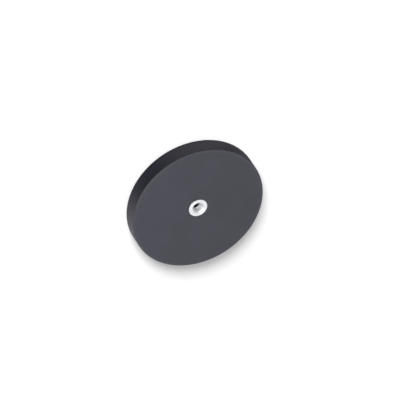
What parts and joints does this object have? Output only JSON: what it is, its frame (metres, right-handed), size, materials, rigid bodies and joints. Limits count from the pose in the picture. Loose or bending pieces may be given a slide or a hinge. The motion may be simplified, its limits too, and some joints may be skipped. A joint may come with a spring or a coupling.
{
  "type": "rubber-coated holding magnet",
  "caption": "Round flat holding magnet sealed in a black rubber jacket, with a flush metal bushing whose blind female thread takes a screw or stud.",
  "frame": {"origin": "centre of the working face, on the magnet's axis, at its lowest point", "axes": "+Z along the axis and out of the bushing's mouth; X and Y lie in the working face, and X passes through the centre of a magnet of the outer ring"},
  "size_m": [0.066, 0.066, 0.0085],
  "materials": {
    "black_rubber": "matte",
    "plate_steel": "satin",
    "zinc_plated_steel": "satin",
    "nickel_plated_magnet": "polished"
  },
  "bodies": {
    "root": {"inner_magnet_01": "nickel_plated_magnet", "inner_magnet_02": "nickel_plated_magnet", "inner_magnet_03": "nickel_plated_magnet", "inner_magnet_04": "nickel_plated_magnet", "inner_magnet_05": "nickel_plated_magnet", "inner_magnet_06": "nickel_plated_magnet", "outer_magnet_01": "nickel_plated_magnet", "outer_magnet_02": "nickel_plated_magnet", "outer_magnet_03": "nickel_plated_magnet", "outer_magnet_04": "nickel_plated_magnet", "outer_magnet_05": "nickel_plated_magnet", "outer_magnet_06": "nickel_plated_magnet", "outer_magnet_07": "nickel_plated_magnet", "outer_magnet_08": "nickel_plated_magnet", "outer_magnet_09": "nickel_plated_magnet", "outer_magnet_10": "nickel_plated_magnet", "outer_magnet_11": "nickel_plated_magnet", "outer_magnet_12": "nickel_plated_magnet", "rubber_jacket": "black_rubber", "steel_plate": "plate_steel", "threaded_bushing": "zinc_plated_steel"}
  },
  "joints": []
}
